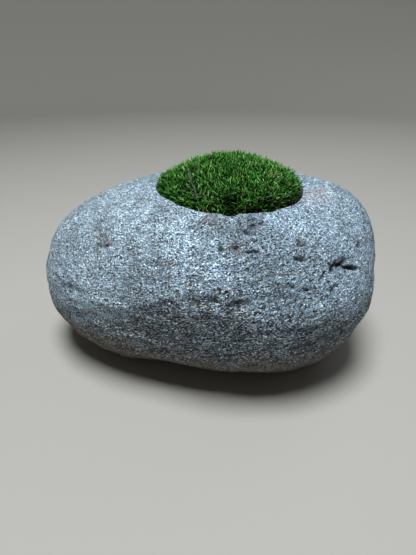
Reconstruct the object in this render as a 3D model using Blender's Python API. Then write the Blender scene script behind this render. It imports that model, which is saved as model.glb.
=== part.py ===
"""Mossy rock: a rounded stone with a round hollow drilled in its top, planted with a cushion of moss.

Metres, +Z up. +X runs to the stone's blunt right end, and -Y is its front. The origin is on the surface that the
stone rests on, under the middle of its plan. Four pieces: rock, soil, moss, and a dry twig caught in the moss.
"""

import math

import bmesh
import bpy
import numpy as np
from mathutils import Vector, noise

# The stone's reach from the axis of its hollow and from its waist, before swells and wear.
ROCK_LEFT = 0.1042
ROCK_RIGHT = 0.0801
ROCK_FRONT = 0.0667
ROCK_BACK = 0.070
ROCK_TOP = 0.055
ROCK_BOTTOM = 0.0575
PLAN_SQUARENESS = 2.0  # exponents of the superellipsoid: 2 is an ellipse, more is squarer
SIDE_SQUARENESS = 2.55
BASE_WEAR = 0.0163  # how much of the underside is worn off flat

# Broad swells of the form: azimuth from +X, elevation and spread in degrees, and height in metres.
SWELLS = {
    "left shoulder": (180, 38, 26, -0.0025),
    "right shoulder": (0, 36, 24, 0.0077),
    "right of the hollow": (352, 57, 20, -0.0061),
    "under the right end": (350, -36, 24, -0.0048),
    "front, low": (270, -35, 28, -0.0021),
    "front, left": (225, 0, 28, -0.0062),
    "front, right": (315, 0, 28, 0.0021),
    "behind the hollow": (90, 50, 28, 0.0037),
    "before the hollow": (270, 50, 24, 0.0009),
    "foot, left": (225, -38, 22, -0.0092),
    "foot, front left": (252, -45, 22, -0.0073),
    "foot, front right": (290, -45, 22, -0.0086),
    "foot, far right": (345, -30, 22, -0.0034),
    "foot, far left": (195, -18, 20, -0.0028),
    "right end": (0, 10, 22, -0.0045),
    "left end": (180, 2, 20, -0.0033),
}

# Pits: azimuth, elevation and tilt in degrees, then half length, half width and depth in metres.
PITS = {
    "crevice": (316.8, 24.1, -2, 0.0062, 0.0025, 0.0017),
    "crevice, left lobe": (311.7, 24.5, 34, 0.0026, 0.0015, 0.0034),
    "crevice, middle": (316.0, 23.7, 14, 0.0024, 0.0010, 0.0026),
    "crevice, right slot": (320.0, 21.2, -24, 0.0044, 0.0012, 0.0034),
    "slot": (298.6, 30.6, -24, 0.0030, 0.0012, 0.0026),
    "pocket over the slot": (302.0, 35.5, -30, 0.0034, 0.0022, 0.0013),
    "nick under the slot": (304.9, 22.6, 32, 0.0024, 0.0012, 0.0018),
    "nick, right shoulder": (330.8, 34.2, -25, 0.0026, 0.0018, 0.0012),
    "nick, right end": (329.7, 26.1, 30, 0.0020, 0.0013, 0.0014),
    "pocket under the rim": (270.5, 38.0, 8, 0.0024, 0.0014, 0.0016),
    "nick under the rim": (277.6, 36.2, 8, 0.0034, 0.0011, 0.0014),
    "crack under the rim": (276.4, 44.4, -24, 0.0034, 0.0011, 0.0013),
    "scar under the rim": (284.2, 47.0, 20, 0.0046, 0.0014, 0.0013),
    "dimple, left": (214.3, 26.7, 28, 0.0030, 0.0018, 0.0016),
    "dimple over it": (210.0, 27.9, 35, 0.0020, 0.0012, 0.0014),
    "nick, upper left": (211.5, 38.6, 30, 0.0022, 0.0012, 0.0012),
    "hollow place, front": (260.0, 18.5, 14, 0.0075, 0.0030, 0.0013),
    "hollow place beside it": (270.5, 17.5, 10, 0.0050, 0.0022, 0.0013),
    "pocket behind the rim": (153.0, 46.0, 30, 0.0036, 0.0024, 0.0018),
    "cleft, back": (72.0, 14.0, -10, 0.0085, 0.0024, 0.0030),
    "nick, back": (104.0, 26.0, 25, 0.0040, 0.0022, 0.0016),
    "pocket, back": (128.0, -6.0, -15, 0.0060, 0.0030, 0.0020),
    "dimple, behind the left end": (148.0, 4.0, 30, 0.0040, 0.0024, 0.0014),
    "dimple, right end": (18.0, 2.0, -30, 0.0044, 0.0026, 0.0016),
}

# The shelf along the lower left of the front: below its line the stone is cut back.
SHELF_START = (203.0, -1.5)  # azimuth and elevation
SHELF_END = (247.0, 16.5)
SHELF_DEPTH = 0.0014
SHELF_LIP = 1.6  # degrees over which it drops
SHELF_FADE = 15.0  # degrees below the line over which the cut runs out

# The brow: where the front's upper face turns under, by azimuth and elevation from left to right. The stone swells
# along it and is hollowed under it.
BROW = ((176, -5), (203, -1.5), (225, 8), (247, 16), (258, 17), (272, 14), (287, 11), (306, 8), (330, 4))
BROW_HEIGHT = 0.0013
BROW_SPREAD = 9.0  # degrees over which the swell above and below it fades
BROW_ENDS = (186.0, 328.0, 9.0)  # azimuths at its ends, and degrees over which it fades there
UNDERCUT_DEPTH = 0.0028
UNDERCUT_REACH = 17.0  # degrees below the brow at which most of that depth is reached
UNDERCUT_FOOT = (-33.0, 5.0)  # elevation at which it runs out above the foot, and over how many degrees

# Bedding: broken ledges that run level round the stone, strongest on its lower half.
LEDGE_LENGTH = 0.026
LEDGE_PITCH = 0.0048
LEDGE_HEIGHT = 0.0014
ROLL = {0.030: 0.0013, 0.0115: 0.0005}  # the stone's general unevenness: lengths and heights

FORM_SUBDIVISIONS = 7
KEPT_FACES = 0.078  # share of the fine form's triangles that is kept

# The drilled hollow, and the chips along its rim: azimuth, then half length along the rim and half depth.
HOLLOW_RADIUS = 0.0373
HOLLOW_FLOOR = 0.046  # above the surface that the stone rests on
HOLLOW_CORNER = 0.007
HOLLOW_CLEARANCE = 0.020  # how far its cutter stands above the stone
ROUND_SIDES = 56
RIM_CHIPS = {
    268: (0.0042, 0.0014),
    229: (0.0030, 0.0011),
    298: (0.0036, 0.0008),
    22: (0.0034, 0.0010),
    80: (0.0050, 0.0015),
    148: (0.0040, 0.0012),
}

GAP = 0.0003  # between pieces that touch
SIDE_GAP = 0.0005  # more round the flat-sided rounds

# What is planted in the hollow, by height above the surface that the stone rests on.
SOIL_TOP = 0.084
SOIL_CROWN = 0.002
MOSS_TOP = 0.1084
MOSS_EDGE = 0.0912
MOSS_LEAN = (-0.0004, 0.0016)  # how much higher than that the edge is at the right, and at the back
MOSS_FULLNESS = 1.95  # exponent of the dome: 2 is an ellipse, more is fuller
MOSS_FULLER_RIGHT = 0.35
MOSS_ROLL_LENGTH = 0.013
MOSS_ROLL_HEIGHT = 0.0010
MOSS_RINGS = 11

TWIG_PLAN = ((-0.0205, -0.0104), (-0.0188, -0.0195), (-0.0160, -0.0304))  # tip, kink and foot
TWIG_RADIUS = 0.00045
TWIG_POINTS = 9


def unit(azimuth, elevation):
    """The direction with this azimuth from +X and this elevation, in degrees."""
    a, e = math.radians(azimuth), math.radians(elevation)
    return np.array([math.cos(e) * math.cos(a), math.cos(e) * math.sin(a), math.sin(e)])


def smooth_noise(points, length, offset):
    """Noise of about -1 to 1 at each point, with features about length long."""
    shift = Vector((offset, 1.7 * offset, 2.3 * offset))
    return np.array([noise.noise(Vector(p) / length + shift) for p in points])


def form_radius(directions):
    """The stone's smooth form: how far it reaches from its waist's centre in each direction."""
    x, y, z = directions.T
    along = np.abs(x / np.where(x > 0, ROCK_RIGHT, ROCK_LEFT))
    across = np.abs(y / np.where(y > 0, ROCK_BACK, ROCK_FRONT))
    up = np.abs(z / np.where(z > 0, ROCK_TOP, ROCK_BOTTOM))
    plan = (along**PLAN_SQUARENESS + across**PLAN_SQUARENESS) ** (1 / PLAN_SQUARENESS)
    radius = (plan**SIDE_SQUARENESS + up**SIDE_SQUARENESS) ** (-1 / SIDE_SQUARENESS)
    for azimuth, elevation, spread, height in SWELLS.values():
        angle = np.arccos(np.clip(directions @ unit(azimuth, elevation), -1, 1))
        radius = radius + height * np.exp(-((angle / math.radians(spread)) ** 2))
    return radius


def pit_relief(points):
    """Depth of the named pits at each point, as a height below 0."""
    relief = np.zeros(len(points))
    for azimuth, elevation, tilt, half_length, half_width, depth in PITS.values():
        outward = unit(azimuth, elevation)
        centre = outward * form_radius(outward[None])[0]
        level = np.cross((0, 0, 1), outward)
        level /= np.linalg.norm(level)
        upward = np.cross(outward, level)
        t = math.radians(tilt)
        away = points - centre
        along = away @ (level * math.cos(t) + upward * math.sin(t)) / half_length
        across = away @ (upward * math.cos(t) - level * math.sin(t)) / half_width
        reach = (away @ outward) / (3 * half_length)
        relief -= depth * np.exp(-((along**2 + across**2 + reach**2) ** 1.5))
    return relief


def shelf_relief(directions):
    """The cut below the shelf's line, as a height below 0."""
    azimuth = np.degrees(np.arctan2(directions[:, 1], directions[:, 0])) % 360
    elevation = np.degrees(np.arcsin(np.clip(directions[:, 2], -1, 1)))
    share = (azimuth - SHELF_START[0]) / (SHELF_END[0] - SHELF_START[0])
    below = SHELF_START[1] + share * (SHELF_END[1] - SHELF_START[1]) - elevation
    runs_out = np.exp(-np.clip(np.abs(share - 0.5) - 0.4, 0, None) ** 2 / 0.02)
    dropped = 1 / (1 + np.exp(-np.clip(3 * below / SHELF_LIP, -30, 30)))
    return -SHELF_DEPTH * runs_out * dropped * np.exp(-np.clip(below, 0, None) / SHELF_FADE)


def brow_relief(directions):
    """The swell along the brow and the hollowed face under it."""
    azimuth = np.degrees(np.arctan2(directions[:, 1], directions[:, 0])) % 360
    elevation = np.degrees(np.arcsin(np.clip(directions[:, 2], -1, 1)))
    above = elevation - np.interp(azimuth, *zip(*BROW))
    left, right, fade = BROW_ENDS
    beyond = np.maximum(np.maximum(left - azimuth, azimuth - right), 0)
    swell = BROW_HEIGHT * np.exp(-((above / BROW_SPREAD) ** 2))
    hollowed = UNDERCUT_DEPTH * (1 - np.exp(-((np.clip(-above, 0, None) / UNDERCUT_REACH) ** 1.5)))
    foot, foot_fade = UNDERCUT_FOOT
    hollowed = hollowed / (1 + np.exp(np.clip((foot - elevation) * 2 / foot_fade, -30, 30)))
    return (swell - hollowed) * np.exp(-((beyond / fade) ** 2))


def bedding_relief(points):
    """Broken ledges that run level round the stone: noise that is drawn out along the level."""
    flattened = points * (1, 1, LEDGE_LENGTH / LEDGE_PITCH)
    strength = np.clip(0.45 + smooth_noise(points, 0.035, 9.3), 0.1, 1)
    strength = strength * np.clip(1 - points[:, 2] / ROCK_TOP, 0.2, 1)
    return LEDGE_HEIGHT * strength * smooth_noise(flattened, LEDGE_LENGTH, 5.1)


def rock_points(directions):
    """The stone's surface in these directions, measured from its waist's centre."""
    points = directions * form_radius(directions)[:, None]
    relief = brow_relief(directions) + shelf_relief(directions)
    relief += bedding_relief(points) + pit_relief(points)
    for length, height in ROLL.items():
        relief += height * smooth_noise(points, length, 0.4)
    return points + directions * relief[:, None]


def new_object(name, mesh, collection, material=None, location=(0, 0, 0)):
    obj = bpy.data.objects.new(name, mesh)
    obj.location = location
    collection.objects.link(obj)
    if material:
        mesh.materials.append(material)
    return obj


def mesh_from(bm, name):
    mesh = bpy.data.meshes.new(name)
    bm.to_mesh(mesh)
    bm.free()
    mesh.shade_smooth()
    return mesh


def turned(name, profile, sides=ROUND_SIDES):
    """A solid turned about Z from (radius, height) points that start and end on the axis."""
    bm = bmesh.new()
    corners = [bm.verts.new((radius, 0, height)) for radius, height in profile]
    edges = [bm.edges.new(pair) for pair in zip(corners, corners[1:])]
    bmesh.ops.spin(
        bm,
        geom=corners + edges,
        axis=(0, 0, 1),
        cent=(0, 0, 0),
        angle=2 * math.pi,
        steps=sides,
        use_merge=True,
    )
    bmesh.ops.remove_doubles(bm, verts=bm.verts, dist=GAP / 10)
    bmesh.ops.recalc_face_normals(bm, faces=bm.faces)
    return mesh_from(bm, name)


def rounded_corner(radius, floor, corner, steps=4):
    """Profile points round the foot of a round wall, from the wall down to its floor."""
    angles = [math.pi / 2 * step / steps for step in range(steps + 1)]
    return [
        (radius - corner + corner * math.cos(a), floor + corner - corner * math.sin(a))
        for a in angles
    ]


def make_material(name, colour, roughness):
    material = bpy.data.materials.new(name)
    material.use_nodes = True
    shader = material.node_tree.nodes["Principled BSDF"]
    shader.inputs["Base Color"].default_value = (*colour, 1)
    shader.inputs["Roughness"].default_value = roughness
    shader.inputs["Metallic"].default_value = 0
    return material


def make_cutter(name, mesh, collection, location=(0, 0, 0)):
    cutter = new_object(name, mesh, collection, location=location)
    cutter.hide_render = True
    cutter.display_type = "WIRE"
    return cutter


def make_rock_form(collection, material, centre):
    """The stone before it is cut: a ball pushed out to the form and its relief, then thinned."""
    bm = bmesh.new()
    bmesh.ops.create_icosphere(bm, subdivisions=FORM_SUBDIVISIONS, radius=1)
    directions = np.array([v.co.normalized() for v in bm.verts])
    for vert, point in zip(bm.verts, rock_points(directions)):
        vert.co = point + centre
    rock = new_object("rock", mesh_from(bm, "rock"), collection, material)
    thin = rock.modifiers.new("thin", "DECIMATE")
    thin.ratio = KEPT_FACES
    return rock


def cut(obj, cutter):
    boolean = obj.modifiers.new(cutter.name, "BOOLEAN")
    boolean.operation = "DIFFERENCE"
    boolean.object = cutter


def rim_point(azimuth, centre):
    """Where the hollow's wall meets the stone's surface at this azimuth."""
    elevations = np.radians(np.linspace(30, 80, 400))
    a = math.radians(azimuth)
    flat = np.cos(elevations)
    directions = np.stack([flat * math.cos(a), flat * math.sin(a), np.sin(elevations)], 1)
    points = directions * form_radius(directions)[:, None]
    reach = np.hypot(points[:, 0], points[:, 1])
    return points[np.abs(reach - HOLLOW_RADIUS).argmin()] + centre


def make_hollow_cutters(collection, centre):
    """The drilled hollow, and a flattened ball for each chip along its rim."""
    top = centre[2] + ROCK_TOP + HOLLOW_CLEARANCE
    wall = rounded_corner(HOLLOW_RADIUS, HOLLOW_FLOOR, HOLLOW_CORNER)
    profile = [(0, top), (HOLLOW_RADIUS, top), *wall, (0, HOLLOW_FLOOR)]
    mesh = turned("hollow_cutter", profile)
    cutters = [make_cutter("hollow_cutter", mesh, collection, (centre[0], centre[1], 0))]
    for azimuth, (half_length, half_depth) in RIM_CHIPS.items():
        bm = bmesh.new()
        bmesh.ops.create_icosphere(bm, subdivisions=2, radius=1)
        bmesh.ops.scale(bm, vec=(half_depth, half_length, half_depth), verts=bm.verts)
        name = f"chip_cutter_{azimuth}"
        cutter = make_cutter(name, mesh_from(bm, name), collection, rim_point(azimuth, centre))
        cutter.rotation_euler.z = math.radians(azimuth)
        cutters.append(cutter)
    return cutters


def make_base_cutter(collection, centre):
    """A block whose top is the surface that the stone rests on."""
    bm = bmesh.new()
    bmesh.ops.create_cube(bm, size=1)
    length, height = 3 * ROCK_LEFT, ROCK_BOTTOM
    bmesh.ops.scale(bm, vec=(length, length, height), verts=bm.verts)
    bmesh.ops.translate(bm, vec=(centre[0], centre[1], -height / 2), verts=bm.verts)
    return make_cutter("base_cutter", mesh_from(bm, "base_cutter"), collection)


def soil_surface(lift=0):
    """Profile points over the crowned top of the soil, from the axis out, raised by lift."""
    radius = HOLLOW_RADIUS - SIDE_GAP
    shares = (0, 0.35, 0.7, 1)
    return [(share * radius, SOIL_TOP - SOIL_CROWN * share**2 + lift) for share in shares]


def make_soil(collection, material, centre):
    """Growing medium that fills the hollow up to the foot of the moss."""
    floor = HOLLOW_FLOOR + GAP
    foot = rounded_corner(HOLLOW_RADIUS - SIDE_GAP, floor, HOLLOW_CORNER)
    mesh = turned("soil", [*soil_surface(), *foot, (0, floor)])
    return new_object("soil", mesh, collection, material, (centre[0], centre[1], 0))


def moss_height(x, y):
    """Height of the moss's tips over a point in plan, measured from the hollow's axis."""
    radius = HOLLOW_RADIUS - SIDE_GAP
    share = min(math.hypot(x, y) / radius, 1)
    edge = MOSS_EDGE + (MOSS_LEAN[0] * x + MOSS_LEAN[1] * y) / radius
    fullness = MOSS_FULLNESS + MOSS_FULLER_RIGHT * x / radius
    dome = (1 - share**fullness) ** (1 / fullness)
    roll = noise.noise(Vector((x, y, 0.02)) / MOSS_ROLL_LENGTH + Vector((2.6, 8.1, 0)))
    return edge + (MOSS_TOP - edge) * dome + MOSS_ROLL_HEIGHT * roll * dome**0.5


def make_moss(collection, material, centre):
    """The cushion as one solid that reaches the tips of its leaves."""
    radius = HOLLOW_RADIUS - SIDE_GAP
    shares = [math.sin(math.pi / 2 * ring / MOSS_RINGS) for ring in range(MOSS_RINGS + 1)]
    top = [(share * radius, MOSS_TOP) for share in shares]
    mesh = turned("moss", [*top, *reversed(soil_surface(GAP))])
    for vert in mesh.vertices:
        if vert.co.z > (MOSS_TOP + SOIL_TOP) / 2:
            vert.co.z = moss_height(vert.co.x, vert.co.y)
    return new_object("moss", mesh, collection, material, (centre[0], centre[1], 0))


def twig_plan(share):
    """Plan position along the twig, from its tip (0) by its kink to its foot (1)."""
    leg = 0 if share < 0.5 else 1
    start, end = (np.array(point) for point in TWIG_PLAN[leg : leg + 2])
    return start + (2 * share - leg) * (end - start)


def make_twig(collection, material, centre):
    """A dry twig that lies down the front of the moss."""
    curve = bpy.data.curves.new("twig", "CURVE")
    curve.dimensions = "3D"
    curve.bevel_depth = TWIG_RADIUS
    curve.bevel_resolution = 2
    curve.use_fill_caps = True
    spline = curve.splines.new("POLY")
    spline.points.add(TWIG_POINTS - 1)
    for index, point in enumerate(spline.points):
        share = index / (TWIG_POINTS - 1)
        x, y = twig_plan(share)
        point.co = (x, y, moss_height(x, y) + TWIG_RADIUS + 2 * GAP, 1)
        point.radius = 0.75 + 0.45 * share
    return new_object("twig", curve, collection, material, (centre[0], centre[1], 0))


def plan_and_waist():
    """Where the waist's centre stands: over the origin's plan, and above the worn base."""
    longitudes, latitudes = np.meshgrid(np.radians(range(0, 360, 2)), np.radians(range(-90, 91, 2)))
    flat = np.cos(latitudes)
    directions = [flat * np.cos(longitudes), flat * np.sin(longitudes), np.sin(latitudes)]
    points = rock_points(np.stack(directions, -1).reshape(-1, 3))
    low, high = points.min(0), points.max(0)
    middle = (low + high) / 2
    return np.array([-middle[0], -middle[1], -low[2] - BASE_WEAR])


def main():
    for obj in list(bpy.data.objects):
        bpy.data.objects.remove(obj, do_unlink=True)
    scene = bpy.context.scene
    scene.unit_settings.system = "METRIC"
    pieces = bpy.data.collections.new("mossy_rock")
    cutters = bpy.data.collections.new("cutters")
    scene.collection.children.link(pieces)
    scene.collection.children.link(cutters)

    centre = plan_and_waist()
    rock = make_rock_form(pieces, make_material("stone", (0.30, 0.33, 0.36), 0.85), centre)
    cut(rock, make_base_cutter(cutters, centre))
    for cutter in make_hollow_cutters(cutters, centre):
        cut(rock, cutter)
    make_soil(pieces, make_material("compost", (0.035, 0.022, 0.014), 0.95), centre)
    make_moss(pieces, make_material("moss", (0.05, 0.16, 0.03), 0.8), centre)
    make_twig(pieces, make_material("dry_wood", (0.06, 0.05, 0.045), 0.8), centre)


main()
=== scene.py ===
"""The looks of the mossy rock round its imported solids: a drilled stone, its soil, moss and a dry twig.

Metres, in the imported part's frame: the origin is on the surface under the stone, and -Y is its front.
"""

import math

import bmesh
import bpy
import numpy as np
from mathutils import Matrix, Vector, kdtree, noise


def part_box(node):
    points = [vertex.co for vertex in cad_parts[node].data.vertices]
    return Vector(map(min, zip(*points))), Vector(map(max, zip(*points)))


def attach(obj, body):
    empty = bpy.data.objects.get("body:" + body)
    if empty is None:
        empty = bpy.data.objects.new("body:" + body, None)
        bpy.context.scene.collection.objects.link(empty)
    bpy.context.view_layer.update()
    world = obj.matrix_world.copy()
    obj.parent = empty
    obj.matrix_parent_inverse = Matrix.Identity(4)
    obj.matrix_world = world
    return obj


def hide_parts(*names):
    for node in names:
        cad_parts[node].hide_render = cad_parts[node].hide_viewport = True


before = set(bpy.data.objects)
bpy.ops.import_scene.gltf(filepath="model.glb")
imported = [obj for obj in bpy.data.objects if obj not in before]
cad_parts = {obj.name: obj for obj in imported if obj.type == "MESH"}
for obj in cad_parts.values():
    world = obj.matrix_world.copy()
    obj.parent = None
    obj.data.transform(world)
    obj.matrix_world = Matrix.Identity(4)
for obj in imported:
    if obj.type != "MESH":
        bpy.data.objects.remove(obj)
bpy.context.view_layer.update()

# ----------------------------------------
# The stone's form and relief, as in the part's source.

ROCK_LEFT = 0.1042
ROCK_RIGHT = 0.0801
ROCK_FRONT = 0.0667
ROCK_BACK = 0.070
ROCK_TOP = 0.055
ROCK_BOTTOM = 0.0575
PLAN_SQUARENESS = 2.0
SIDE_SQUARENESS = 2.55
BASE_WEAR = 0.0163

# Azimuth from +X, elevation and spread in degrees, and height in metres.
SWELLS = {
    "left shoulder": (180, 38, 26, -0.0025),
    "right shoulder": (0, 36, 24, 0.0077),
    "right of the hollow": (352, 57, 20, -0.0061),
    "under the right end": (350, -36, 24, -0.0048),
    "front, low": (270, -35, 28, -0.0021),
    "front, left": (225, 0, 28, -0.0062),
    "front, right": (315, 0, 28, 0.0021),
    "behind the hollow": (90, 50, 28, 0.0037),
    "before the hollow": (270, 50, 24, 0.0009),
    "foot, left": (225, -38, 22, -0.0092),
    "foot, front left": (252, -45, 22, -0.0073),
    "foot, front right": (290, -45, 22, -0.0086),
    "foot, far right": (345, -30, 22, -0.0034),
    "foot, far left": (195, -18, 20, -0.0028),
    "right end": (0, 10, 22, -0.0045),
    "left end": (180, 2, 20, -0.0033),
}

# Azimuth, elevation and tilt in degrees, then half length, half width and depth in metres.
PITS = {
    "crevice": (316.8, 24.1, -2, 0.0062, 0.0025, 0.0017),
    "crevice, left lobe": (311.7, 24.5, 34, 0.0026, 0.0015, 0.0034),
    "crevice, middle": (316.0, 23.7, 14, 0.0024, 0.0010, 0.0026),
    "crevice, right slot": (320.0, 21.2, -24, 0.0044, 0.0012, 0.0034),
    "slot": (298.6, 30.6, -24, 0.0030, 0.0012, 0.0026),
    "pocket over the slot": (302.0, 35.5, -30, 0.0034, 0.0022, 0.0013),
    "nick under the slot": (304.9, 22.6, 32, 0.0024, 0.0012, 0.0018),
    "nick, right shoulder": (330.8, 34.2, -25, 0.0026, 0.0018, 0.0012),
    "nick, right end": (329.7, 26.1, 30, 0.0020, 0.0013, 0.0014),
    "pocket under the rim": (270.5, 38.0, 8, 0.0024, 0.0014, 0.0016),
    "nick under the rim": (277.6, 36.2, 8, 0.0034, 0.0011, 0.0014),
    "crack under the rim": (276.4, 44.4, -24, 0.0034, 0.0011, 0.0013),
    "scar under the rim": (284.2, 47.0, 20, 0.0046, 0.0014, 0.0013),
    "dimple, left": (214.3, 26.7, 28, 0.0030, 0.0018, 0.0016),
    "dimple over it": (210.0, 27.9, 35, 0.0020, 0.0012, 0.0014),
    "nick, upper left": (211.5, 38.6, 30, 0.0022, 0.0012, 0.0012),
    "hollow place, front": (260.0, 18.5, 14, 0.0075, 0.0030, 0.0013),
    "hollow place beside it": (270.5, 17.5, 10, 0.0050, 0.0022, 0.0013),
    "pocket behind the rim": (153.0, 46.0, 30, 0.0036, 0.0024, 0.0018),
    "cleft, back": (72.0, 14.0, -10, 0.0085, 0.0024, 0.0030),
    "nick, back": (104.0, 26.0, 25, 0.0040, 0.0022, 0.0016),
    "pocket, back": (128.0, -6.0, -15, 0.0060, 0.0030, 0.0020),
    "dimple, behind the left end": (148.0, 4.0, 30, 0.0040, 0.0024, 0.0014),
    "dimple, right end": (18.0, 2.0, -30, 0.0044, 0.0026, 0.0016),
}

# Smaller and darker ones, given in the same way.
NICKS = {
    "under the rim": (270.5, 37.6, -12, 0.0011, 0.0007, 0.0012),
    "right of it": (275.8, 36.0, 20, 0.0011, 0.0006, 0.0011),
    "right of that": (279.8, 36.1, 10, 0.0010, 0.0006, 0.0010),
    "crack": (276.6, 44.2, -30, 0.0015, 0.0006, 0.0010),
    "scar, left": (281.1, 47.0, 40, 0.0018, 0.0008, 0.0014),
    "scar, right": (287.0, 47.4, 35, 0.0016, 0.0007, 0.0013),
    "over the slot": (301.2, 36.3, 10, 0.0012, 0.0006, 0.0012),
    "over the slot, right": (303.6, 34.8, 50, 0.0014, 0.0007, 0.0012),
    "between slot and crevice": (302.6, 27.1, -40, 0.0020, 0.0008, 0.0007),
    "under the crevice": (309.2, 18.1, 18, 0.0024, 0.0006, 0.0012),
    "low, right": (292.6, 21.7, -35, 0.0022, 0.0008, 0.0013),
    "low, right of the middle": (297.1, 20.2, 12, 0.0018, 0.0007, 0.0012),
    "left": (214.6, 26.9, 60, 0.0013, 0.0007, 0.0014),
    "left, upper": (210.6, 29.3, 10, 0.0011, 0.0008, 0.0013),
    "far left": (206.6, 9.5, -50, 0.0012, 0.0007, 0.0010),
    "left ledge": (220.0, 8.0, 20, 0.0014, 0.0008, 0.0012),
    "middle, low": (246.0, 16.5, 0, 0.0016, 0.0008, 0.0013),
    "hollow place": (263.0, 18.6, 10, 0.0018, 0.0008, 0.0014),
    "right end": (330.6, 26.2, 40, 0.0012, 0.0008, 0.0012),
    "crevice, left": (311.7, 24.3, 34, 0.0020, 0.0012, 0.0018),
    "crevice, middle": (316.0, 23.9, 0, 0.0022, 0.0011, 0.0015),
    "crevice, right": (320.0, 21.2, -24, 0.0032, 0.0010, 0.0018),
}
PIT_RAGGED = {0.0034: 0.0007, 0.0014: 0.0004}  # lengths and sizes of the raggedness of their outlines

SHELF_START = (203.0, -1.5)  # azimuth and elevation
SHELF_END = (247.0, 16.5)
SHELF_DEPTH = 0.0014
SHELF_LIP = 1.6
SHELF_FADE = 15.0

# The brow, where the front's upper face turns under, by azimuth and elevation from left to right. The stone
# swells along it and is hollowed under it.
BROW = ((176, -5), (203, -1.5), (225, 8), (247, 16), (258, 17), (272, 14), (287, 11), (306, 8), (330, 4))
BROW_HEIGHT = 0.0013
BROW_SPREAD = 9.0  # degrees over which the swell above and below it fades
BROW_ENDS = (186.0, 328.0, 9.0)  # azimuths at its ends, and degrees over which it fades there
UNDERCUT_DEPTH = 0.0028
UNDERCUT_REACH = 17.0  # degrees below the brow at which most of that depth is reached
UNDERCUT_FOOT = (-33.0, 5.0)  # elevation at which it runs out above the foot, and over how many degrees

LEDGE_LENGTH = 0.026
LEDGE_PITCH = 0.0048
LEDGE_HEIGHT = 0.0014
ROLL = {0.030: 0.0013, 0.0115: 0.0005}  # length and height

HOLLOW_RADIUS = 0.0373
HOLLOW_FLOOR = 0.046
HOLLOW_CORNER = 0.007

# Finer relief than the part's solids hold.
FINE_ROLL = {0.0060: 0.00030, 0.0030: 0.00022}  # length and height
FLAKES = {0.0100: 0.00062, 0.0056: 0.00048, 0.0030: 0.00024}  # the same, along the bedding
FLAKE_FLATNESS = 3.0
BED_DIP = 12  # degrees by which the finer bedding rises to the right
GRAIN = 0.00041  # size of the stone's grains
LOW_GRAIN = 0.00067  # and of the coarser, split ones under the line where the stone is painted darker as shade
LOW_GRAIN_FLATNESS = 1.6
GRAIN_FLATNESS = 1.2  # across the beds
PICKS = 1500  # small scattered pits
PICK_SEED = 4
PICK_RADIUS = (0.0006, 0.0017)
PICK_SMALLNESS = 2.5  # the higher this power, the fewer are large
PICK_DEPTH = 0.45  # share of the radius
GRAIN_HEIGHT = 0.00014
GRAIN_SEED = 8
RIM_MARGIN = 0.0015  # beside the rim, over which the finer relief fades out
PIT_SHADE_DEPTH = 0.0030  # of the pits that are painted darkest, as the shade in them
UNDERCUT = 0.32  # how far pits slant up under their upper lips, as a share of their depth

# Weathered and stained places, and one darker place that is painted shade: azimuth and elevation in degrees,
# radius in metres, how much lighter each is and, where it is tinted, how brown and how pink.
STAINS_AND_SHADE = {
    "pale, before the rim on the left": (243, 41, 0.0080, 0.34),
    "pale, left of the middle": (253, 34, 0.0085, 0.26),
    "pale, middle": (267, 27, 0.0060, 0.22),
    "pale, left shoulder": (217, 39, 0.0100, 0.20),
    "pale, top of the left shoulder": (183, 41, 0.0090, 0.15),
    "pale, left end": (203, 14, 0.0120, 0.12),
    "pale, over the left ledge": (215, 14, 0.0130, 0.48),
    "pale, lip of the left ledge": (217, 5, 0.0100, 0.48),
    "pale, under the left ledge": (208, -6, 0.0130, 0.36),
    "pale, right part of the ledge": (223, 8, 0.0080, 0.22),
    "dull, right of the left ledge": (231, 20, 0.0065, -0.24),
    "pale, over that": (233, 33, 0.0075, 0.20),
    "pale, far left": (194, 8, 0.0120, 0.25),
    "pale, right of the ledge": (241, 17, 0.0095, 0.20),
    "pale, left of the hollow places": (248, 12, 0.0080, 0.25),
    "pale, low right of the middle": (280, 14, 0.0080, 0.06),
    "pale, under the crevice": (306, 18, 0.0080, 0.10),
    "pale, right end": (317, 17, 0.0100, 0.30),
    "pale, beside the crevice": (332, 27, 0.0090, 0.14),
    # Painted shade: darkens the low right of the front, where the light is dimmer.
    "painted shade, low on the right": (311, -3, 0.0120, -0.20),
    "pale, low in the middle": (283, 0, 0.0110, 0.28),
    "pale, under the hollow places": (260, 7.5, 0.0110, 0.22),
    "pale, by the rim on the right": (294, 50, 0.0050, 0.26),
    "pale, right shoulder": (308, 44, 0.0100, 0.22),
    "pale, top of the right shoulder": (335, 40, 0.0110, 0.20),
    "pink, right of the rim": (343, 49, 0.0098, 0.24, 0.05, 1),
    "pink, front of the rim": (259, 52, 0.0050, 0.00, 0.1, 0.5),
    "brown, left": (214, 27, 0.0045, -0.17, 0.6),
    "brown, over it": (208, 30, 0.0035, -0.06, 0.5),
    "brown, under the rim": (271, 38, 0.0045, -0.22, 0.5, 0.1),
    "dull, under the rim": (279, 46, 0.0090, -0.24, 0.15),
    "dull, before the rim": (256, 46, 0.0060, -0.24, 0.1),
    "dull, at the front of the rim": (266, 48, 0.0060, -0.18, 0.1),
    "dull, right of the middle": (284, 29, 0.0130, -0.20, 0.1),
    "pale, over the low right": (297, 28, 0.0080, 0.12),
    "dull, low right of the middle": (288, 19, 0.0080, -0.12),
    "dull, low": (292, 9, 0.0080, -0.16),
    "dull, round the slot": (302, 34, 0.0065, -0.16, 0.4),
    "dull, low middle": (270, 20, 0.0070, -0.30, 0.2),
    "dull, low left of the middle": (256, 13, 0.0070, -0.15, 0.1),
    "dull, over the crevice": (329, 37, 0.0060, -0.12, 0.3),
}
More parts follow.
